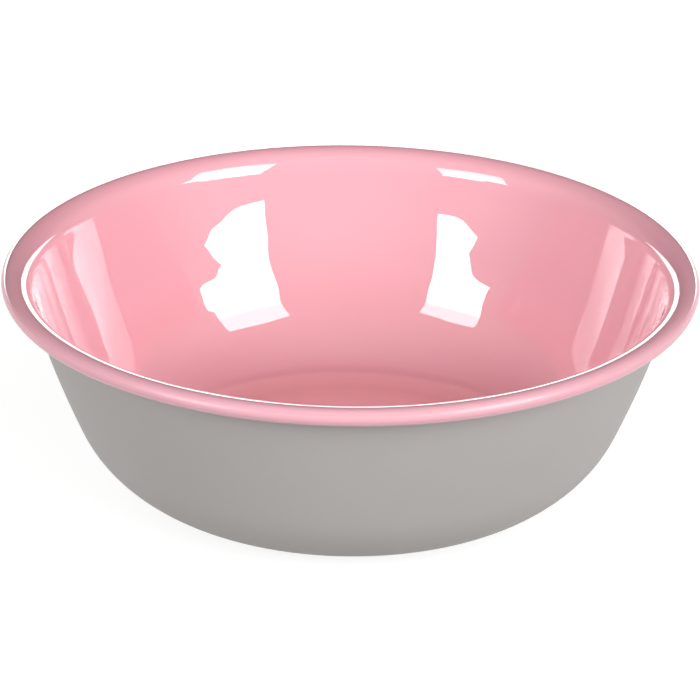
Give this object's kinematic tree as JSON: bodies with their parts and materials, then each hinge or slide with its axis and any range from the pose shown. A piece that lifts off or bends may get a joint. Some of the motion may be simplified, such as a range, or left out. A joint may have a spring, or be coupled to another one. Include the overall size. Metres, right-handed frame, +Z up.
{
  "type": "cat bowl",
  "caption": "Round pressed-steel cat bowl: gloss enamel inside and over the outward-rolled rim, matt enamel outside, flat base on a non-slip ring.",
  "frame": {"origin": "on the ground under the middle of the bowl, in the plane of the non-slip ring's underside", "axes": "+Z up along the bowl's axis of revolution; +X and +Y level, and alike because the bowl is round"},
  "size_m": [0.14, 0.14, 0.0459],
  "materials": {
    "gloss_pink_enamel": "gloss",
    "matt_grey_enamel": "matte",
    "bare_steel": "satin",
    "grey_silicone": "matte"
  },
  "bodies": {
    "root": {"inner_enamel": "gloss_pink_enamel", "steel_shell": "bare_steel", "outer_enamel": "matt_grey_enamel", "non_slip_ring": "grey_silicone"}
  },
  "joints": []
}
